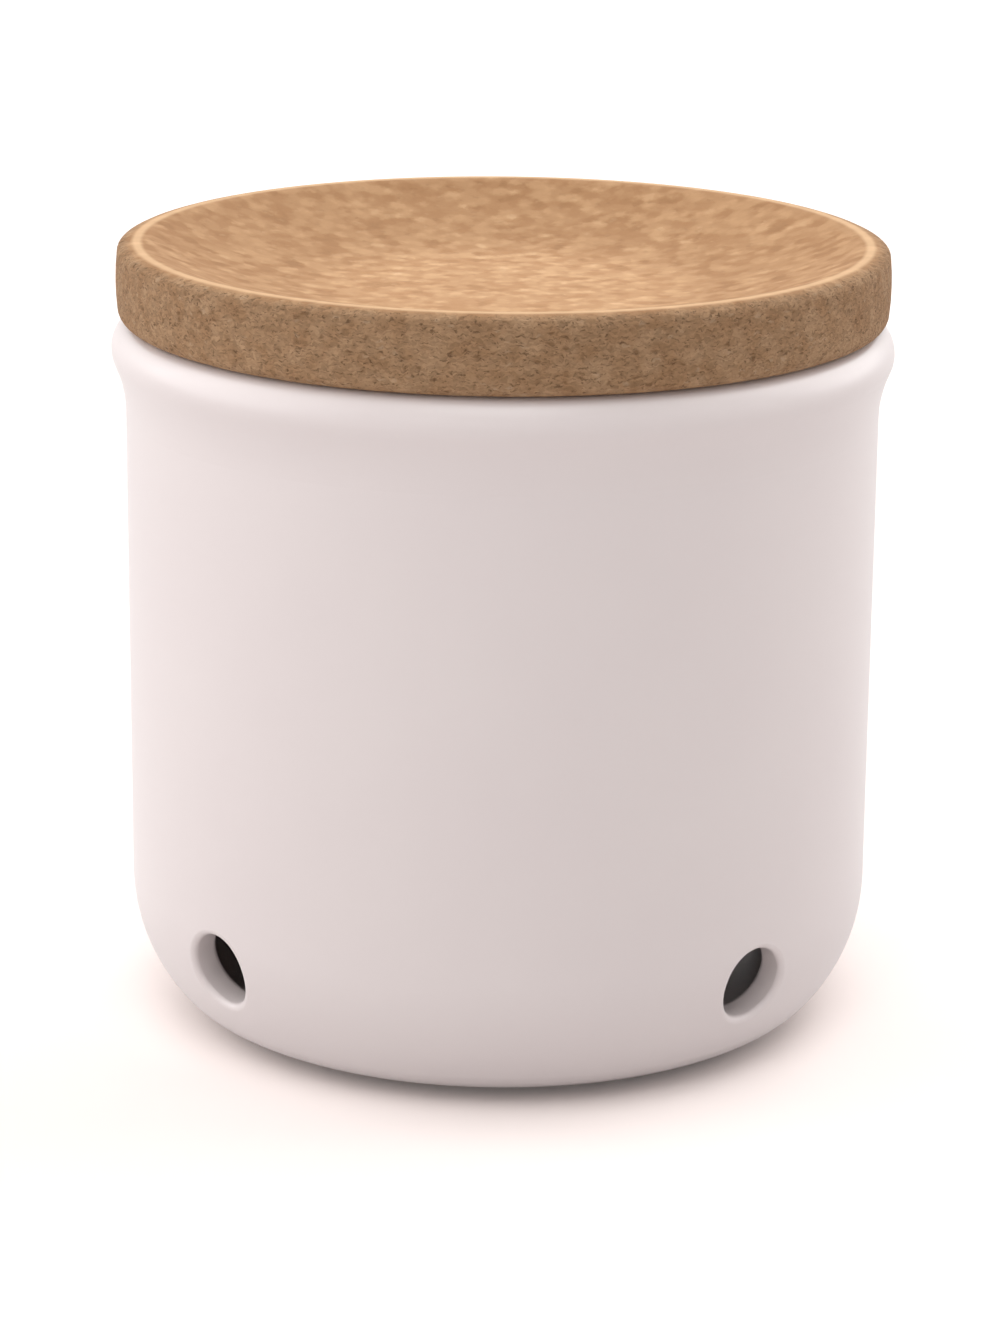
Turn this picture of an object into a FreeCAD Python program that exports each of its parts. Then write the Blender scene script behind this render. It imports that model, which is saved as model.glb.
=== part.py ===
import FreeCAD, Part
import math
import os
import Sketcher

# Garlic keeper: a stoneware pot with vents round its bottom corner, and a turned cork lid.
# Lengths are millimetres and angles degrees. The origin is on the table under the middle of
# the foot, and +Z is up. The front faces -Y, halfway between two vents.

Vector = FreeCAD.Vector

# Driving dimensions: alias, value, what it measures
SIZES = [
    ("pot_height", 129.9, "table to the top of the rim"),
    ("wall_radius", 68.5, "outside of the straight wall"),
    ("wall_thickness", 5.5, "clay, the same all over as in a cast pot"),
    ("rim_overhang", 2.5, "wall out to the widest part of the rolled rim"),
    ("rim_bead_radius", 5.4, "roundness of the rolled rim in section"),
    ("mouth_edge_radius", 1.6, "rounding between the rim's seat and the mouth"),
    ("cove_drop", 17.0, "top of the rim down to where the cove ends on the wall"),
    ("corner_height", 25.5, "table to where the wall starts to turn under"),
    ("corner_inset", 15.8, "wall in to where the corner ends underneath"),
    ("corner_radius", 31.7, "upper, slow part of the bottom corner"),
    ("foot_height", 1.5, "table to the underside of the pot"),
    ("foot_step", 3.0, "end of the corner in to the outside of the foot ring"),
    ("foot_width", 4.5, "foot ring, outside to inside"),
    ("foot_edge_radius", 0.6, "rounding of the foot ring"),
    ("vent_count", 4, "vents, evenly spaced round the corner"),
    ("vent_first_angle", 45.0, "first vent, from +X towards +Y"),
    ("vent_height", 19.3, "table to the middle of a vent, on the outer surface"),
    ("vent_radius", 6.8, "bore of a vent"),
    ("vent_edge_radius", 1.0, "softened edge of a vent"),
    ("lid_setback", 1.0, "widest part of the rim in to the side of the lid"),
    ("lid_thickness", 13.85, "top of the rim to the top of the lip"),
    ("lid_swell", 0.5, "how far the side of the lid bulges at mid height"),
    ("lid_foot_radius", 2.2, "rounding at the bottom of the side"),
    ("lip_inset", 3.9, "side of the lid in to the highest ring of the lip"),
    ("lip_crown_radius", 6.3, "roundness of the lip"),
    ("lip_edge_radius", 1.1, "sharper rounding between the lip and the side"),
    ("dish_depth", 8.5, "top of the lip down to the floor of the dish"),
    ("dish_floor_radius", 25.0, "flat middle of the dish"),
    ("plug_clearance", 1.2, "mouth of the pot in to the plug"),
    ("plug_depth", 8.0, "top of the rim down to the end of the plug"),
    ("plug_draft", 0.8, "how much smaller the plug's radius is at its end"),
    ("plug_end_radius", 2.0, "rounding at the end of the plug"),
    ("plug_root_radius", 1.0, "hollow rounding where the plug joins the disc"),
]

# Sizes that follow from the driving ones
DERIVED = [
    ("rim_radius", "=wall_radius + rim_overhang", "widest part of the rolled rim"),
    ("mouth_radius", "=wall_radius - wall_thickness", "inside of the wall and of the mouth"),
    ("corner_end_radius", "=wall_radius - corner_inset", "where the corner ends underneath"),
    ("foot_radius", "=corner_end_radius - foot_step", "outside of the foot ring"),
    ("foot_inner_radius", "=foot_radius - foot_width", "inside of the foot ring"),
    ("floor_height", "=foot_height + wall_thickness", "table to the floor inside"),
    ("vent_slope", "=asin((corner_height - vent_height) / corner_radius)",
     "lean of the clay where a vent goes through it"),
    ("vent_reach", "=wall_radius - corner_radius * (1 - cos(vent_slope))",
     "axis of the pot to the middle of a vent on the outer surface"),
    ("vent_axis_height", "=vent_height + vent_reach * tan(vent_slope)",
     "where the line of a vent meets the axis of the pot"),
    ("lid_radius", "=rim_radius - lid_setback", "side of the lid at its widest"),
    ("lid_top", "=pot_height + lid_thickness", "table to the top of the lip"),
    ("lid_middle", "=pot_height + lid_thickness / 2", "table to the lid's widest part"),
    ("lid_flank_radius", "=((lid_thickness / 2)^2 + lid_swell^2) / (2 * lid_swell)",
     "curve of the side, from its swell"),
    ("lip_radius", "=lid_radius - lip_inset", "highest ring of the lip"),
    ("plug_radius", "=mouth_radius - plug_clearance", "plug just under the rim"),
    ("plug_end", "=pot_height - plug_depth", "table to the end of the plug"),
]

# How a sketch names its origin, its axes and the points of a curve
ORIGIN = (-1, 1)
ACROSS_AXIS = -1
UPRIGHT_AXIS = -2
START, END, CENTRE = 1, 2, 3

doc = FreeCAD.newDocument("garlic_keeper")
sheet = doc.addObject("Spreadsheet::Sheet", "sizes")
for row, (alias, content, meaning) in enumerate(SIZES + DERIVED, start=1):
    sheet.set("A%d" % row, alias)
    sheet.set("B%d" % row, str(content))
    sheet.set("C%d" % row, meaning)
    sheet.setAlias("B%d" % row, alias)
doc.recompute()


def size(alias):
    """A size from the sheet, as a plain number."""
    return float(sheet.get(alias))


def origin_feature(body, role):
    """One of a body's own origin planes or axes, found by its role."""
    return next(feature for feature in body.Origin.OriginFeatures if feature.Role == role)


def name_dimension(sketch, name, formula, *constraint):
    """A named dimension of a sketch that follows a formula of the sheet."""
    index = sketch.addConstraint(Sketcher.Constraint(*constraint))
    sketch.renameConstraint(index, name)
    sketch.setExpression("Constraints." + name, formula)


class Section:
    """Half of a turned piece in section: across is the distance from the axis, up the height.

    The points and angles given to a stretch are only where the solver starts. The rules, and
    the dimensions bound to the sheet, give the shape.
    """

    def __init__(self, body, name):
        self.body = body
        self.sketch = body.newObject("Sketcher::SketchObject", name)
        self.sketch.AttachmentSupport = [(origin_feature(body, "XZ_Plane"), "")]
        self.sketch.MapMode = "FlatFace"

    def line(self, start, end):
        """A straight stretch."""
        return self.sketch.addGeometry(Part.LineSegment(Vector(*start, 0), Vector(*end, 0)), False)

    def arc(self, centre, radius, first, last):
        """A round stretch that runs anticlockwise from the first angle to the last."""
        circle = Part.Circle(Vector(*centre, 0), Vector(0, 0, 1), radius)
        stretch = Part.ArcOfCircle(circle, math.radians(first), math.radians(last))
        return self.sketch.addGeometry(stretch, False)

    def rule(self, *constraint):
        """A constraint with no size."""
        self.sketch.addConstraint(Sketcher.Constraint(*constraint))

    def flow(self, *joints):
        """Stretches that run into each other with no corner."""
        for first, first_end, second, second_end in joints:
            self.rule("Tangent", first, first_end, second, second_end)

    def across(self, name, formula, stretch, point, value):
        """Distance of a point from the upright axis."""
        name_dimension(self.sketch, name, formula, "DistanceX", *ORIGIN, stretch, point, value)

    def up(self, name, formula, stretch, point, value):
        """Height of a point over the table."""
        name_dimension(self.sketch, name, formula, "DistanceY", *ORIGIN, stretch, point, value)

    def roundness(self, name, formula, stretch, value):
        """Radius of a round stretch."""
        name_dimension(self.sketch, name, formula, "Radius", stretch, value)

    def revolve(self, name):
        """The section turned a full circle about the upright axis."""
        turned = self.body.newObject("PartDesign::Revolution", name)
        turned.Profile = self.sketch
        turned.ReferenceAxis = (self.sketch, ["V_Axis"])
        turned.Angle = 360.0
        doc.recompute()
        return turned


# Pot wall: cast clay of one thickness, so inside and outside of the corner share their centres
def draw_pot_wall(body):
    wall, mouth, rim_top = size("wall_radius"), size("mouth_radius"), size("pot_height")
    foot_out, foot_in = size("foot_radius"), size("foot_inner_radius")
    under, floor = size("foot_height"), size("floor_height")
    corner_end, corner_top = size("corner_end_radius"), size("corner_height")
    slow, clay = size("corner_radius"), size("wall_thickness")
    bead, cove_end = size("rim_bead_radius"), rim_top - size("cove_drop")
    edge = size("mouth_edge_radius")
    quick, turn = 0.7 * size("corner_inset"), 35.0
    cove = 4.5 * bead
    slow_centre = (wall - slow, corner_top)
    quick_centre = (corner_end, under + quick)
    bead_centre = (size("rim_radius") - bead, rim_top - bead)

    section = Section(body, "pot_section")
    under_inside = section.line((0, under), (foot_in, under))
    foot_inside = section.line((foot_in, under), (foot_in, 0))
    foot_face = section.line((foot_in, 0), (foot_out, 0))
    foot_outside = section.line((foot_out, 0), (foot_out, under))
    under_outside = section.line((foot_out, under), (corner_end, under))
    outer_quick = section.arc(quick_centre, quick, 270, 360 - turn)
    outer_slow = section.arc(slow_centre, slow, -turn, 0)
    outer_wall = section.line((wall, corner_top), (wall, cove_end))
    cove_arc = section.arc((wall + cove, cove_end), cove, 155, 180)
    bead_arc = section.arc(bead_centre, bead, -25, 90)
    seat = section.line((bead_centre[0], rim_top), (mouth + edge, rim_top))
    mouth_edge = section.arc((mouth + edge, rim_top - edge), edge, 90, 180)
    inner_wall = section.line((mouth, rim_top - edge), (mouth, corner_top))
    inner_slow = section.arc(slow_centre, slow - clay, -turn, 0)
    inner_quick = section.arc(quick_centre, quick - clay, 270, 360 - turn)
    floor_line = section.line((corner_end, floor), (0, floor))
    middle = section.line((0, floor), (0, under))

    for level in (under_inside, foot_face, under_outside, seat, floor_line):
        section.rule("Horizontal", level)
    for upright in (foot_inside, foot_outside, outer_wall, inner_wall, middle):
        section.rule("Vertical", upright)
    corners = [floor_line, middle, under_inside, foot_inside, foot_face, foot_outside, under_outside]
    for first, second in zip(corners, corners[1:]):
        section.rule("Coincident", first, END, second, START)
    section.rule("Horizontal", foot_inside, START, foot_outside, END)
    section.rule("PointOnObject", middle, START, UPRIGHT_AXIS)
    section.rule("PointOnObject", foot_face, START, ACROSS_AXIS)
    section.flow(
        (under_outside, END, outer_quick, START),
        (outer_quick, END, outer_slow, START),
        (outer_slow, END, outer_wall, START),
        (outer_wall, END, cove_arc, END),
        (cove_arc, START, bead_arc, START),
        (bead_arc, END, seat, START),
        (seat, END, mouth_edge, START),
        (mouth_edge, END, inner_wall, START),
        (inner_wall, END, inner_slow, END),
        (inner_slow, START, inner_quick, END),
        (inner_quick, START, floor_line, START))
    section.rule("Coincident", inner_slow, CENTRE, outer_slow, CENTRE)
    section.rule("Coincident", inner_quick, CENTRE, outer_quick, CENTRE)

    section.across("foot_inside", "sizes.foot_inner_radius", foot_face, START, foot_in)
    section.across("foot_outside", "sizes.foot_radius", foot_face, END, foot_out)
    section.across("corner_end", "sizes.corner_end_radius", under_outside, END, corner_end)
    section.across("wall", "sizes.wall_radius", outer_wall, START, wall)
    section.across("bead_middle", "sizes.rim_radius - sizes.rim_bead_radius", bead_arc, CENTRE,
                   bead_centre[0])
    section.across("mouth", "sizes.mouth_radius", inner_wall, START, mouth)
    section.up("underside", "sizes.foot_height", under_outside, START, under)
    section.up("corner_top", "sizes.corner_height", outer_wall, START, corner_top)
    section.up("cove_end", "sizes.pot_height - sizes.cove_drop", outer_wall, END, cove_end)
    section.up("rim_top", "sizes.pot_height", seat, START, rim_top)
    section.roundness("corner", "sizes.corner_radius", outer_slow, slow)
    section.roundness("bead", "sizes.rim_bead_radius", bead_arc, bead)
    section.roundness("mouth_edge", "sizes.mouth_edge_radius", mouth_edge, edge)
    return section.revolve("wall")


def soften(body, name, base, radius_alias, is_wanted):
    """Rounds the edges of a feature that pass a test."""
    names = ["Edge%d" % number for number, edge in enumerate(base.Shape.Edges, start=1)
             if is_wanted(edge)]
    rounded = body.newObject("PartDesign::Fillet", name)
    rounded.Base = (base, names)
    rounded.setExpression("Radius", "sizes." + radius_alias)
    doc.recompute()
    return rounded


# Vents: each goes square through the clay of the corner, so it slopes down and outwards
def pierce_vents(body, base):
    mark = body.newObject("Sketcher::SketchObject", "vent_mark")
    mark.AttachmentSupport = [(origin_feature(body, "XY_Plane"), "")]
    mark.MapMode = "FlatFace"
    mark.setExpression("AttachmentOffset",
                       "placement(vector(0; 0; sizes.vent_axis_height);"
                       " rotation(sizes.vent_first_angle; 90 deg + sizes.vent_slope; 0))")
    bore = size("vent_radius")
    circle = mark.addGeometry(Part.Circle(Vector(0, 0, 0), Vector(0, 0, 1), bore), False)
    mark.addConstraint(Sketcher.Constraint("Coincident", circle, CENTRE, *ORIGIN))
    name_dimension(mark, "bore", "sizes.vent_radius", "Radius", circle, bore)

    # The hole runs from the axis of the pot out past the wall, along the mark's normal
    vent = body.newObject("PartDesign::Pocket", "vent")
    vent.Profile = mark
    vent.Type = "Length"
    vent.Reversed = True
    vent.setExpression("Length", "2 * sizes.wall_radius")
    doc.recompute()
    if vent.Shape.Volume > base.Shape.Volume - bore ** 3:
        raise ValueError("the vent cut nothing from the wall")

    vents = body.newObject("PartDesign::PolarPattern", "vents")
    vents.Originals = [vent]
    vents.Axis = (origin_feature(body, "Z_Axis"), [""])
    vents.Angle = 360.0
    vents.setExpression("Occurrences", "sizes.vent_count")
    body.Tip = vents
    doc.recompute()
    return vents


def make_pot():
    body = doc.addObject("PartDesign::Body", "Pot")
    body.Label = "pot"
    wall = draw_pot_wall(body)

    def is_foot_edge(edge):
        return edge.BoundBox.ZMax < size("foot_height") / 2

    foot = soften(body, "foot_ring", wall, "foot_edge_radius", is_foot_edge)
    vents = pierce_vents(body, foot)

    # Only where a vent comes out of the rounded corner is an edge neither straight nor a circle
    def is_vent_edge(edge):
        return edge.Curve.TypeId == "Part::GeomBSplineCurve"

    soften(body, "vent_edges", vents, "vent_edge_radius", is_vent_edge)
    return body


# Lid: one disc of cork with a dished top, a crowned lip, a slightly swollen side and a plug below
def make_lid():
    body = doc.addObject("PartDesign::Body", "Lid")
    body.Label = "lid"
    rim, top, side, middle = size("pot_height"), size("lid_top"), size("lid_radius"), size("lid_middle")
    lip, crown, edge = size("lip_radius"), size("lip_crown_radius"), size("lip_edge_radius")
    flank_curve, low = size("lid_flank_radius"), size("lid_foot_radius")
    root, tip = size("plug_root_radius"), size("plug_end_radius")
    plug, plug_end = size("plug_radius"), size("plug_end")
    slim = plug - size("plug_draft")
    level_reach, depth = size("dish_floor_radius"), size("dish_depth")
    floor = top - depth
    bowl = ((lip - level_reach) ** 2 + depth ** 2) / (2 * depth) - crown

    section = Section(body, "lid_section")
    dish_floor = section.line((0, floor), (level_reach, floor))
    dish_wall = section.arc((level_reach, floor + bowl), bowl, 270, 293)
    crest = section.arc((lip, top - crown), crown, 55, 113)
    shoulder = section.arc((side - edge, top - 2 * edge), edge, 2, 55)
    flank = section.arc((side - flank_curve, middle), flank_curve, -4, 3)
    low_edge = section.arc((side - low, rim + low), low, 270, 356)
    underside = section.line((side - low, rim), (plug + root, rim))
    plug_root = section.arc((plug + root, rim - root), root, 90, 175)
    plug_side = section.line((plug, rim - root), (slim, plug_end + tip))
    plug_edge = section.arc((slim - tip, plug_end + tip), tip, 270, 355)
    plug_face = section.line((slim - tip, plug_end), (0, plug_end))
    axis = section.line((0, plug_end), (0, floor))

    for level in (dish_floor, underside, plug_face):
        section.rule("Horizontal", level)
    section.rule("Vertical", axis)
    section.rule("Coincident", plug_face, END, axis, START)
    section.rule("Coincident", axis, END, dish_floor, START)
    section.rule("PointOnObject", axis, START, UPRIGHT_AXIS)
    section.flow(
        (dish_floor, END, dish_wall, START),
        (dish_wall, END, crest, END),
        (crest, START, shoulder, END),
        (shoulder, START, flank, END),
        (flank, START, low_edge, END),
        (low_edge, START, underside, START),
        (underside, END, plug_root, START),
        (plug_root, END, plug_side, START),
        (plug_side, END, plug_edge, END),
        (plug_edge, START, plug_face, START))

    section.across("lip", "sizes.lip_radius", crest, CENTRE, lip)
    name_dimension(section.sketch, "flank_middle", "sizes.lid_flank_radius - sizes.lid_radius",
                   "DistanceX", flank, CENTRE, *ORIGIN, flank_curve - side)
    section.across("plug", "sizes.plug_radius", plug_side, START, plug)
    section.across("plug_slim", "sizes.plug_radius - sizes.plug_draft", plug_side, END, slim)
    section.across("dish_floor", "sizes.dish_floor_radius", dish_floor, END, level_reach)
    section.up("dish_bottom", "sizes.lid_top - sizes.dish_depth", axis, END, floor)
    section.up("crown_middle", "sizes.lid_top - sizes.lip_crown_radius", crest, CENTRE, top - crown)
    section.up("widest", "sizes.lid_middle", flank, CENTRE, middle)
    section.up("seat", "sizes.pot_height", underside, START, rim)
    section.up("plug_end", "sizes.plug_end", plug_face, START, plug_end)
    section.roundness("crown", "sizes.lip_crown_radius", crest, crown)
    section.roundness("lip_edge", "sizes.lip_edge_radius", shoulder, edge)
    section.roundness("flank", "sizes.lid_flank_radius", flank, flank_curve)
    section.roundness("low_edge", "sizes.lid_foot_radius", low_edge, low)
    section.roundness("plug_root", "sizes.plug_root_radius", plug_root, root)
    section.roundness("plug_edge", "sizes.plug_end_radius", plug_edge, tip)
    section.revolve("disc")
    return body


def check(pieces):
    """Stops the script if an object failed or a piece is not one sound solid."""
    for made in doc.Objects:
        if "Invalid" in made.State or "Error" in made.State:
            raise ValueError("%s failed: %s" % (made.Label, made.State))
    for piece in pieces:
        shape = piece.Shape
        if shape.isNull() or not shape.isValid() or len(shape.Solids) != 1:
            raise ValueError("%s is not one sound solid" % piece.Label)


pieces = [make_pot(), make_lid()]
doc.recompute()
check(pieces)
os.makedirs("parts", exist_ok=True)
for piece in pieces:
    piece.Shape.exportStep("parts/%s.step" % piece.Label)
    box = piece.Shape.BoundBox
    print("%s: %.1f cm3, %.1f x %.1f x %.1f mm" % (
        piece.Label, piece.Shape.Volume / 1000, box.XLength, box.YLength, box.ZLength))
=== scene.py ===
# %% [markdown]
# # A garlic keeper in stoneware and cork
# The real object is two pieces: a pot of glazed stoneware with four air vents in its bottom
# corner, and a thick lid of pressed cork with a shallow dish turned into its top. The CAD model
# already holds both pieces at their real size. CAD gives clean form and no surface, so this
# lesson adds the surfaces, and then the floor, the light and the camera that show them.

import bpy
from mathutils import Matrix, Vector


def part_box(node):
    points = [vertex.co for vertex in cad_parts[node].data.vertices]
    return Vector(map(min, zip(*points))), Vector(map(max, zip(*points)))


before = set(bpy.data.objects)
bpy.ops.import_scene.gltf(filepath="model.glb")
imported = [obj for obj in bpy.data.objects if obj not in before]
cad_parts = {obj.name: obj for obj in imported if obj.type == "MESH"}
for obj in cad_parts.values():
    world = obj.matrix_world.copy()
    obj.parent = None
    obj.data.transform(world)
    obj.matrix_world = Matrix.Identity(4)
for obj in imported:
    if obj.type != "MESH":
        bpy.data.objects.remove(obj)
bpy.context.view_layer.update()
print("pieces:", sorted(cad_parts))

# %% [markdown]
# ## Sizes that the surfaces need
# Some finishes change where the form changes: the side of the lid is sawn, and the foot of the
# pot is bare clay. The places could be typed in as numbers, but read from the pieces they stay
# right when the CAD model changes.

# %% Read the sizes from the pieces
MM = 0.001
pot_low, pot_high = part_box("pot")
RIM_TOP = pot_high[2]
lid_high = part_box("lid")[1]
LID_RADIUS = lid_high[0]
LID_TOP = lid_high[2]
print("lid: %.1f mm across, its top %.1f mm over the table" % (2 * LID_RADIUS / MM, LID_TOP / MM))
print("pot: %.1f mm across, %.1f mm tall" % ((pot_high[0] - pot_low[0]) / MM, RIM_TOP / MM))

# %% [markdown]
# ## Colours and nodes
# Colours are easiest to read from a picture as sRGB hex codes, but shaders add up light, so they
# want linear values. One function does that. A second one adds a shader node, sets it and joins
# it up in one line, which keeps the materials below short enough to read. Most inputs go by their
# names. The ones of a Mix node for colours go by number, because several of them share a name: 0
# is the factor, 6 and 7 are the two colours, and output 2 is the result.

# %% Helpers for every material
import bpy


def linear(hex_code):
    """An sRGB colour such as "D6AC84" as the linear values that a shader uses."""
    levels = [int(hex_code[place:place + 2], 16) / 255 for place in (0, 2, 4)]
    return [level / 12.92 if level <= 0.04045 else ((level + 0.055) / 1.055) ** 2.4
            for level in levels] + [1.0]


def add_node(material, kind, inputs=None, **settings):
    """Adds a shader node. An input that is a socket gets a link, any other gets the value."""
    tree = material.node_tree
    node = tree.nodes.new("ShaderNode" + kind)
    for name, value in settings.items():
        setattr(node, name, value)
    for name, value in (inputs or {}).items():
        if isinstance(value, bpy.types.NodeSocket):
            tree.links.new(value, node.inputs[name])
        else:
            node.inputs[name].default_value = value
    return node


def empty_material(name):
    """A material with no nodes yet."""
    material = bpy.data.materials.new(name)
    material.use_nodes = True
    material.node_tree.nodes.clear()
    return material


def per_metre(size_mm):
    """The Scale of a texture whose cells or waves are to be this many millimetres wide."""
    return 1000 / size_mm


print("D6AC84 is", [round(level, 3) for level in linear("D6AC84")[:3]])

# %% [markdown]
# ## Glazed stoneware
# The pot was cast in one, dipped in an opaque white glaze and fired. A satin glaze is smooth to
# the hand but its skin is full of fine crystals, so it shows broad soft highlights and no sharp
# reflection. Its colour shifts very slightly where the glaze pooled or ran thin. The foot ring was
# wiped clean before firing, or it would have stuck to the shelf of the kiln, so it shows the clay.
#
# A single Principled shader does all of it. Noise on Object coordinates drives the small shifts,
# because those coordinates are in metres and the waves can have a real size.

# %% Material of the pot
GLAZE_TONES = ("E4DAD8", "E0D5D4")
GLAZE_DRIFT = 34.0
GLAZE_RIPPLE = 7.0
RIPPLE_HEIGHT = 0.03
GLAZE_ROUGHNESS = 0.32
CLAY_TONES = ("CDBBA6", "B9A48D")
CLAY_GRIT = 0.8
CLAY_ROUGHNESS = 0.85
FOOT_BARE = 0.9
GLAZE_EDGE = 0.3


def satin_glazed_stoneware():
    material = empty_material("satin_glazed_stoneware")
    place = add_node(material, "TexCoord").outputs["Object"]

    # Slow drift of the glaze's colour, hardly more than the eye can tell
    drift = add_node(material, "TexNoise",
                     {"Vector": place, "Scale": per_metre(GLAZE_DRIFT), "Detail": 2.0})
    glaze = add_node(material, "Mix",
                     {0: drift.outputs["Fac"], 6: linear(GLAZE_TONES[0]),
                      7: linear(GLAZE_TONES[1])}, data_type="RGBA")

    # Height over the table tells the bare foot from the glaze
    height = add_node(material, "SeparateXYZ", {"Vector": place})
    bare = add_node(material, "MapRange",
                    {"Value": height.outputs["Z"], "From Min": (FOOT_BARE + GLAZE_EDGE) * MM,
                     "From Max": FOOT_BARE * MM})
    clay_grit = add_node(material, "TexNoise",
                         {"Vector": place, "Scale": per_metre(CLAY_GRIT), "Detail": 3.0})
    clay = add_node(material, "Mix",
                    {0: clay_grit.outputs["Fac"], 6: linear(CLAY_TONES[0]),
                     7: linear(CLAY_TONES[1])}, data_type="RGBA")
    colour = add_node(material, "Mix",
                      {0: bare.outputs["Result"], 6: glaze.outputs[2], 7: clay.outputs[2]},
                      data_type="RGBA")
    roughness = add_node(material, "MapRange",
                         {"Value": bare.outputs["Result"], "To Min": GLAZE_ROUGHNESS,
                          "To Max": CLAY_ROUGHNESS})

    # The glaze levels itself in the kiln but never quite flat
    ripple = add_node(material, "TexNoise",
                      {"Vector": place, "Scale": per_metre(GLAZE_RIPPLE), "Detail": 1.0})
    skin = add_node(material, "Bump",
                    {"Height": ripple.outputs["Fac"], "Strength": 0.5,
                     "Distance": RIPPLE_HEIGHT * MM})
    shader = add_node(material, "BsdfPrincipled",
                      {"Base Color": colour.outputs[2], "Roughness": roughness.outputs["Result"],
                       "IOR": 1.5, "Normal": skin.outputs["Normal"]})
    add_node(material, "OutputMaterial", {"Surface": shader.outputs["BSDF"]})
    return material


def give_material(node_name, material):
    """Gives a CAD piece its one material."""
    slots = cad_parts[node_name].data.materials
    slots.clear()
    slots.append(material)
    print(node_name, "is finished in", material.name)


give_material("pot", satin_glazed_stoneware())

# %% [markdown]
# ## Pressed cork
# The lid is agglomerated cork: bark is ground to granules of one to two millimetres, mixed with a
# binder, pressed into a block and turned on a lathe. Each granule keeps its own brown, so the
# surface is a patchwork of soft-edged tones with a few dark bits of bark in it.
#
# The lathe and the sandpaper didn't reach it all alike. The dish is sanded smooth. Its wall has
# painted shade, darker than its flat middle. The lip, the side and the underside are cut across
# the granules, and their open pores make them darker and rougher. The crest of the lip has a
# painted highlight, a pale ring. One material could be painted piece by piece, but a lathe makes
# rings, so three masks, from the distance to the axis and the height, find them with no painting.

# %% Where the lid is sanded and where it is sawn
LIP_INSET = 3.9
SAWN_BEGINS, SAWN_ALL = 0.3, 2.9
UNDER_FADE = 1.0
CREST_CORE, CREST_EDGE = 0.3, 1.3
CREST_TOP, CREST_FOOT = 1.0, 3.0
DISH_FLOOR = 25.0
WALL_BEGINS, WALL_ALL = -2.0, 18.0


def cork_zones(material, place):
    """Three masks of the lid: where it is sawn, the crest of its lip and the wall of its dish."""
    crest_radius = LID_RADIUS - LIP_INSET * MM
    flat = add_node(material, "Mapping", {"Vector": place, "Scale": (1.0, 1.0, 0.0)})
    distance = add_node(material, "VectorMath", {0: flat.outputs["Vector"]},
                        operation="LENGTH").outputs["Value"]
    height = add_node(material, "SeparateXYZ", {"Vector": place}).outputs["Z"]

    # Sawn: what lies outside the crest, and what lies below the rim of the pot
    side = add_node(material, "MapRange",
                    {"Value": distance, "From Min": crest_radius + SAWN_BEGINS * MM,
                     "From Max": crest_radius + SAWN_ALL * MM}, interpolation_type="SMOOTHSTEP")
    underneath = add_node(material, "MapRange",
                          {"Value": height, "From Min": RIM_TOP + UNDER_FADE * MM,
                           "From Max": RIM_TOP})
    sawn = add_node(material, "Math", {0: side.outputs["Result"],
                                       1: underneath.outputs["Result"]}, operation="MAXIMUM")

    # Crest: a narrow ring on both sides of the lip's highest line, for a painted highlight
    off_crest = add_node(material, "Math", {0: distance, 1: crest_radius}, operation="SUBTRACT")
    off_either_way = add_node(material, "Math", {0: off_crest.outputs[0]}, operation="ABSOLUTE")
    ring = add_node(material, "MapRange",
                    {"Value": off_either_way.outputs[0], "From Min": CREST_EDGE * MM,
                     "From Max": CREST_CORE * MM}, interpolation_type="SMOOTHSTEP")
    near_top = add_node(material, "MapRange",
                        {"Value": height, "From Min": LID_TOP - CREST_FOOT * MM,
                         "From Max": LID_TOP - CREST_TOP * MM})
    crest = add_node(material, "Math", {0: ring.outputs["Result"],
                                        1: near_top.outputs["Result"]}, operation="MULTIPLY")

    # Wall: from the edge of the dish's flat middle out towards the lip, where painted shade goes
    wall = add_node(material, "MapRange",
                    {"Value": distance, "From Min": (DISH_FLOOR + WALL_BEGINS) * MM,
                     "From Max": (DISH_FLOOR + WALL_ALL) * MM}, interpolation_type="SMOOTHSTEP")
    return sawn.outputs[0], crest.outputs[0], wall.outputs["Result"]


print("sawn cork begins %.1f mm in from the side of the lid" % (LIP_INSET - SAWN_BEGINS))

# %% [markdown]
# The zones decide how much of each detail shows. Two separate materials would leave a hard line
# between dish and side, so there is one material, and each detail has two amounts: one for the
# sanded dish and one for sawn cork. A zone's mask blends from the one to the other.

# %% Amounts that change from zone to zone
def by_zone(material, zone, elsewhere, inside):
    """A value that is one amount inside a zone and another elsewhere."""
    return add_node(material, "MapRange",
                    {"Value": zone, "To Min": elsewhere, "To Max": inside}).outputs["Result"]


def stain_or_highlight(material, under, mask, amount, hex_code):
    """A stain, or a painted highlight, where the mask is and as strongly as the amount says."""
    strength = add_node(material, "Math", {0: mask, 1: amount}, operation="MULTIPLY")
    return add_node(material, "Mix", {0: strength.outputs[0], 6: under, 7: linear(hex_code)},
                    data_type="RGBA").outputs[2]


print("zones blend over %.1f mm at the lip" % (SAWN_ALL - SAWN_BEGINS))

# %% [markdown]
# ### Granules
# Voronoi cells are the natural model of packed granules: every cell gets one random tone. Plain
# cells look like cut glass, so the smooth kind is used, which melts each tone into the next. A
# colour ramp turns the tone into one of the browns of cork.

# %% Browns of the granules
GRANULE = 2.4
CORK_TONES = ((0.0, "916D49"), (0.3, "B38861"), (0.5, "BF966F"), (0.7, "CBA27A"), (1.0, "E3C09A"))
TONE_SPREAD = (0.58, 0.34)


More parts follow.
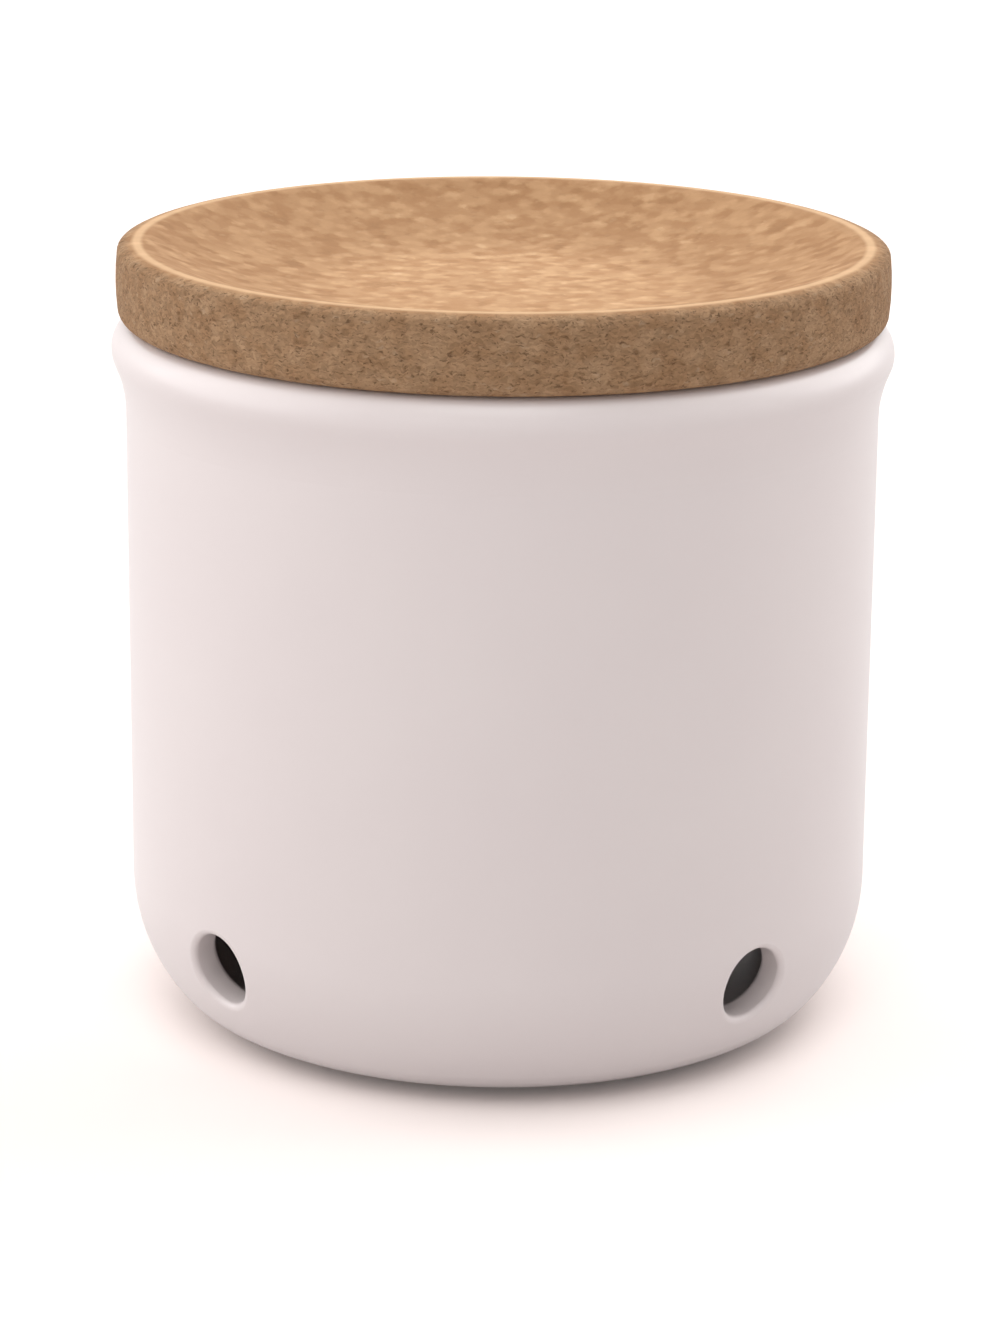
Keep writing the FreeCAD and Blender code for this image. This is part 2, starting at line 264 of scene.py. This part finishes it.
def granule_browns(material, bent, sawn):
    """Soft-edged cells with one brown each, less unlike each other where the cork is sawn."""
    granules = add_node(material, "TexVoronoi",
                        {"Vector": bent, "Scale": per_metre(GRANULE), "Smoothness": 1.0},
                        feature="SMOOTH_F1")
    tone = add_node(material, "SeparateColor", {"Color": granules.outputs["Color"]})
    off_middle = add_node(material, "Math", {0: tone.outputs["Red"], 1: 0.5},
                          operation="SUBTRACT")
    tone_here = add_node(material, "Math",
                         {0: off_middle.outputs[0], 1: by_zone(material, sawn, *TONE_SPREAD),
                          2: 0.5}, operation="MULTIPLY_ADD")
    browns = add_node(material, "ValToRGB", {"Fac": tone_here.outputs[0]})
    stops = browns.color_ramp.elements
    while len(stops) < len(CORK_TONES):
        stops.new(1.0)
    for stop, (position, brown) in zip(stops, CORK_TONES):
        stop.position = position
        stop.color = linear(brown)
    return browns.outputs["Color"]


print("granules %.1f mm wide, browns from %s to %s" % (GRANULE, CORK_TONES[0][1],
                                                       CORK_TONES[-1][1]))

# %% [markdown]
# ### Chips and grain
# Where the saw opened a granule, smaller chips and a fine grain show inside it. Smaller Voronoi
# cells and a noise of still smaller waves add up to one light-and-dark value, which shades the
# colour here and stands for height in the relief later.

# %% Light and shade inside the granules
CHIP = 0.8
GRAIN = 0.45
FINE_SHOWS = (0.03, 0.38)


def chips_and_grain(material, squashed):
    """A value that is 1 on average, more on light chips and less on dark ones."""
    chips = add_node(material, "TexVoronoi",
                     {"Vector": squashed, "Scale": per_metre(CHIP), "Smoothness": 0.5},
                     feature="SMOOTH_F1")
    chip_tone = add_node(material, "SeparateColor", {"Color": chips.outputs["Color"]})
    grain = add_node(material, "TexNoise",
                     {"Vector": squashed, "Scale": per_metre(GRAIN), "Detail": 3.0,
                      "Roughness": 0.6})
    return add_node(material, "Math", {0: chip_tone.outputs["Red"], 1: grain.outputs["Fac"]},
                    operation="ADD").outputs[0]


def shade_by_grain(material, colour, fine, sawn):
    """Darkens and lightens a colour by the chips and grain."""
    off_middle = add_node(material, "Math", {0: fine, 1: 1.0}, operation="SUBTRACT")
    shade = add_node(material, "Math",
                     {0: off_middle.outputs[0], 1: by_zone(material, sawn, *FINE_SHOWS), 2: 1.0},
                     operation="MULTIPLY_ADD")
    return add_node(material, "Mix", {0: 1.0, 6: colour, 7: shade.outputs[0]},
                    data_type="RGBA", blend_type="MULTIPLY").outputs[2]


print("chips %.1f mm wide, grain %.2f mm" % (CHIP, GRAIN))

# %% [markdown]
# ### Bark, flecks and pores
# Ground bark holds some dark specks and some pale corky flecks. Both are the middles of some
# cells of another Voronoi, and each cell's random colour decides whether it gets one. Pores are
# the low spots of a noise. They are short dark dashes that lie flat, because the press flattens
# what it can, and they are plain to see only where the cork was sawn.

# %% Specks, flecks and pores
BARK_SPACING = 2.4
SPECK_EDGE, SPECK_CORE = 0.40, 0.10
BARK_SHARE, FLECK_SHARE = 0.3, 0.2
BARK_BROWN, FLECK_PALE = "6E4A2E", "EBCBA6"
SPECKS_SHOW, FLECKS_SHOW = (0.12, 0.5), (0.12, 0.25)
PORE = 0.9
PORE_EDGE, PORE_CORE = 0.43, 0.30
PORE_DARK = "5E4430"
PORES_SHOW = (0.03, 0.62)


def specks_and_flecks(material, squashed):
    """Masks of the dark specks of bark and of the pale flecks."""
    cells = add_node(material, "TexVoronoi",
                     {"Vector": squashed, "Scale": per_metre(BARK_SPACING)})
    middle = add_node(material, "MapRange",
                      {"Value": cells.outputs["Distance"], "From Min": SPECK_EDGE,
                       "From Max": SPECK_CORE}, interpolation_type="SMOOTHSTEP")
    lot = add_node(material, "SeparateColor", {"Color": cells.outputs["Color"]}).outputs["Red"]
    is_bark = add_node(material, "Math", {0: lot, 1: 1.0 - BARK_SHARE}, operation="GREATER_THAN")
    is_fleck = add_node(material, "Math", {0: lot, 1: FLECK_SHARE}, operation="LESS_THAN")
    speck = add_node(material, "Math", {0: middle.outputs["Result"], 1: is_bark.outputs[0]},
                     operation="MULTIPLY")
    fleck = add_node(material, "Math", {0: middle.outputs["Result"], 1: is_fleck.outputs[0]},
                     operation="MULTIPLY")
    return speck.outputs[0], fleck.outputs[0]


def open_pores(material, flattened):
    """Mask of the pores."""
    noise = add_node(material, "TexNoise",
                     {"Vector": flattened, "Scale": per_metre(PORE), "Detail": 2.0})
    return add_node(material, "MapRange",
                    {"Value": noise.outputs["Fac"], "From Min": PORE_EDGE,
                     "From Max": PORE_CORE}, interpolation_type="SMOOTHSTEP").outputs["Result"]


print("bark in %.0f of 100 cells, each %.1f mm wide" % (100 * BARK_SHARE, BARK_SPACING))

# %% [markdown]
# ### The whole lid
# The shader goes from coarse to fine and ends with the shade of each zone: painted shade on the
# dish's wall and a painted highlight on the crest. A small wobble in the coordinates bends the
# straight edges of the cells, and a second and third set, squashed in height, give chips, specks
# and pores the flat shape that the press gave them.
# Cork is dull and a little soft, so its gloss is low everywhere and lowest where it was sawn.

# %% Material of the lid
BEND_WAVE = 1.2
BEND = 1.6
PRESS = 2.2
PORE_PRESS = 3.0
# Painted shade that darkens the dish's wall; sawn cork is darker in its own colour
WALL_PAINTED_SHADE = (0.82, 0.79, 0.75, 1.0)
SAWN_SHADE = (0.64, 0.66, 0.70, 1.0)
# Painted highlight: a pale ring along the crest of the lip
CREST_HIGHLIGHT, CREST_HIGHLIGHT_STRENGTH = "E3BE96", 0.6
PIT_DEPTH = 0.9
RELIEF_SHOWS = (0.08, 1.0)
RELIEF_HEIGHT = 0.12
CORK_ROUGHNESS = (0.72, 0.9)


def pressed_cork():
    material = empty_material("pressed_cork")
    place = add_node(material, "TexCoord").outputs["Object"]
    sawn, crest, wall = cork_zones(material, place)

    # Coordinates with a small wobble, and the same squashed by the press
    bend = add_node(material, "TexNoise",
                    {"Vector": place, "Scale": per_metre(BEND_WAVE), "Detail": 2.0})
    bent = add_node(material, "VectorMath",
                    {0: bend.outputs["Color"], 1: [BEND * MM] * 3, 2: place},
                    operation="MULTIPLY_ADD").outputs["Vector"]
    squashed = add_node(material, "Mapping",
                        {"Vector": bent, "Scale": (1.0, 1.0, PRESS)}).outputs["Vector"]
    flattened = add_node(material, "Mapping",
                         {"Vector": bent, "Scale": (1.0, 1.0, PORE_PRESS)}).outputs["Vector"]

    # Colour, from coarse to fine
    colour = granule_browns(material, bent, sawn)
    fine = chips_and_grain(material, squashed)
    colour = shade_by_grain(material, colour, fine, sawn)
    speck, fleck = specks_and_flecks(material, squashed)
    colour = stain_or_highlight(material, colour, speck, by_zone(material, sawn, *SPECKS_SHOW), BARK_BROWN)
    colour = stain_or_highlight(material, colour, fleck, by_zone(material, sawn, *FLECKS_SHOW), FLECK_PALE)
    pores = open_pores(material, flattened)
    colour = stain_or_highlight(material, colour, pores, by_zone(material, sawn, *PORES_SHOW), PORE_DARK)

    # Shade of each zone: painted shade on the wall of the dish, the darker sawn cork
    # and a painted highlight on the crest
    # Painted shade: the wall of the dish is made darker than its flat middle
    dish_painted_shade = add_node(material, "Mix", {0: wall, 6: (1.0, 1.0, 1.0, 1.0), 7: WALL_PAINTED_SHADE},
                          data_type="RGBA")
    zone_shade = add_node(material, "Mix", {0: sawn, 6: dish_painted_shade.outputs[2], 7: SAWN_SHADE},
                          data_type="RGBA")
    colour = add_node(material, "Mix", {0: 1.0, 6: colour, 7: zone_shade.outputs[2]},
                      data_type="RGBA", blend_type="MULTIPLY").outputs[2]
    # Painted highlight along the crest of the lip
    colour = stain_or_highlight(material, colour, crest, CREST_HIGHLIGHT_STRENGTH, CREST_HIGHLIGHT)

    # Relief: chips and grain stand at slightly different heights, and pores and specks are pits
    pits = add_node(material, "Math", {0: speck, 1: pores}, operation="ADD")
    relief = add_node(material, "Math", {0: pits.outputs[0], 1: -PIT_DEPTH, 2: fine},
                      operation="MULTIPLY_ADD")
    relief_here = add_node(material, "Math",
                           {0: relief.outputs[0], 1: by_zone(material, sawn, *RELIEF_SHOWS)},
                           operation="MULTIPLY")
    surface = add_node(material, "Bump",
                       {"Height": relief_here.outputs[0], "Strength": 0.6,
                        "Distance": RELIEF_HEIGHT * MM})
    shader = add_node(material, "BsdfPrincipled",
                      {"Base Color": colour,
                       "Roughness": by_zone(material, sawn, *CORK_ROUGHNESS),
                       "IOR": 1.4, "Specular IOR Level": 0.2,
                       "Normal": surface.outputs["Normal"]})
    add_node(material, "OutputMaterial", {"Surface": shader.outputs["BSDF"]})
    return material


give_material("lid", pressed_cork())

# %% [markdown]
# ## Floor
# The pot stands on white paper that runs out of sight, as in a product studio. One square of mesh
# is enough. The camera sees it as warm white paper with a faint even veil over it, because glare
# in a lens lifts the darkest part of a shadow. To every other ray it is a little greyer, as if the
# paper were only as large as a table top, so that it doesn't flood the pot from below.

# %% Floor
import bmesh

FLOOR_HALF = 4.0
FLOOR_DROP = 0.05 * MM
PAPER_SEEN = "FEF4F0"
PAPER_GLOW = 0.04
PAPER_BOUNCE = "E6E2E1"


def make_floor():
    """One square of paper, a hair under the foot of the pot."""
    shape = bmesh.new()
    bmesh.ops.create_grid(shape, x_segments=1, y_segments=1, size=FLOOR_HALF)
    bmesh.ops.translate(shape, verts=shape.verts, vec=(0, 0, -FLOOR_DROP))
    mesh = bpy.data.meshes.new("floor")
    shape.to_mesh(mesh)
    shape.free()
    floor = bpy.data.objects.new("floor", mesh)
    bpy.context.scene.collection.objects.link(floor)
    return floor


def matte_white_paper():
    """Paper is matte, so it is a plain diffuse shader with no gloss at all."""
    material = empty_material("matte_white_paper")
    to_camera = add_node(material, "LightPath").outputs["Is Camera Ray"]
    white = add_node(material, "Mix",
                     {0: to_camera, 6: linear(PAPER_BOUNCE), 7: linear(PAPER_SEEN)},
                     data_type="RGBA")
    paper = add_node(material, "BsdfDiffuse", {"Color": white.outputs[2]})
    glow = add_node(material, "Math", {0: to_camera, 1: PAPER_GLOW}, operation="MULTIPLY")
    glare = add_node(material, "Emission", {"Strength": glow.outputs[0]})
    both = add_node(material, "AddShader",
                    {0: paper.outputs["BSDF"], 1: glare.outputs["Emission"]})
    add_node(material, "OutputMaterial", {"Surface": both.outputs["Shader"]})
    return material


floor = make_floor()
floor.data.materials.append(matte_white_paper())
print("floor:", 2 * FLOOR_HALF, "m square")

# %% [markdown]
# ## White tent
# A pot with a satin glaze mirrors the room in its broad highlights, so the world is a white tent.
# Seen by the camera or in a gloss it is plain white. As a light it is much weaker, which leaves
# the modelling of the form to the lamps.

# %% World
TENT = 0.12


def light_the_world():
    world = bpy.data.worlds.new("white_tent")
    world.use_nodes = True
    world.node_tree.nodes.clear()
    ray = add_node(world, "LightPath")
    seen = add_node(world, "Math", {0: ray.outputs["Is Camera Ray"],
                                    1: ray.outputs["Is Glossy Ray"]}, operation="MAXIMUM")
    seen_or_through = add_node(world, "Math", {0: seen.outputs[0],
                                               1: ray.outputs["Is Transmission Ray"]},
                               operation="MAXIMUM")
    strength = add_node(world, "MapRange", {"Value": seen_or_through.outputs[0], "To Min": TENT,
                                            "To Max": 1.0})
    background = add_node(world, "Background", {"Color": (1.0, 1.0, 1.0, 1.0),
                                                "Strength": strength.outputs["Result"]})
    add_node(world, "OutputWorld", {"Surface": background.outputs["Background"]})
    bpy.context.scene.world = world


light_the_world()
print("tent light: %.2f of white" % TENT)

# %% [markdown]
# ## Lamps
# The picture was lit by two strong softboxes, one on the left and one behind on the right. That
# shows in the pot: its left side is lightest, the shade is deepest a little right of the middle,
# and the right edge is light again. A panel overhead and one behind light the lid and the floor, a
# weak one in front keeps the middle of the pot from going dark, and white walls fill in the rest.
# Sun lamps are used because they light the floor evenly out to the horizon, and a wide angle makes
# them as soft as a softbox.

# %% Lamps
import math

LAMPS = (
    {"name": "left", "share": 0.56, "spread": 70, "azimuth": -88, "height": 25},
    {"name": "behind_right", "share": 0.42, "spread": 60, "azimuth": 130, "height": 32},
    {"name": "behind_left", "share": 0.14, "spread": 60, "azimuth": -130, "height": 32},
    {"name": "behind", "share": 0.34, "spread": 80, "azimuth": 172, "height": 58},
    {"name": "overhead", "share": 0.28, "spread": 36, "azimuth": 0, "height": 66},
    {"name": "right", "share": 0.12, "spread": 70, "azimuth": 100, "height": 25},
    {"name": "front", "share": 0.14, "spread": 60, "azimuth": 0, "height": 30},
)


def add_soft_sun(name, share, spread, azimuth, height):
    """A sun that gives a surface square to it this share of full light.

    Azimuth is counted from the camera's side, positive to the right, and height from the horizon.
    """
    lamp = bpy.data.lights.new(name, "SUN")
    lamp.energy = share * math.pi
    lamp.angle = math.radians(spread)
    sun = bpy.data.objects.new(name, lamp)
    sun.rotation_euler = (math.radians(90 - height), 0, math.radians(azimuth))
    bpy.context.scene.collection.objects.link(sun)


for lamp in LAMPS:
    add_soft_sun(**lamp)
level_on_floor = TENT + sum(lamp["share"] * math.sin(math.radians(lamp["height"]))
                            for lamp in LAMPS)
print("light on the floor: %.2f" % level_on_floor)

# %% [markdown]
# ## Camera
# The picture was taken with a long lens from a little above the lid, which keeps the sides of the
# pot nearly parallel. Distance, height, tilt and lens belong together: they were found by matching
# the outline of the CAD model to the outline in the picture. The pot stands turned by a few
# degrees, and because CAD pieces stay where they are, the camera goes round it instead.

# %% Camera
from mathutils import Matrix

CAMERA_DISTANCE = 0.7432
CAMERA_HEIGHT = 0.2822
CAMERA_TILT = 16.415
CAMERA_ROLL = 0.54
CAMERA_SWING = 2.55
CAMERA_LENS = 112.48


def add_camera():
    lens = bpy.data.cameras.new("camera")
    lens.lens = CAMERA_LENS
    lens.sensor_width = 36
    camera = bpy.data.objects.new("camera", lens)
    camera.matrix_world = (
        Matrix.Rotation(math.radians(CAMERA_SWING), 4, "Z")
        @ Matrix.Translation((0, -CAMERA_DISTANCE, CAMERA_HEIGHT))
        @ Matrix.Rotation(math.radians(90 - CAMERA_TILT), 4, "X")
        @ Matrix.Rotation(math.radians(CAMERA_ROLL), 4, "Z"))
    bpy.context.scene.collection.objects.link(camera)
    bpy.context.scene.camera = camera


add_camera()
bpy.context.scene.view_settings.view_transform = "Standard"
print("lens: %.0f mm, %.2f m away" % (CAMERA_LENS, CAMERA_DISTANCE))
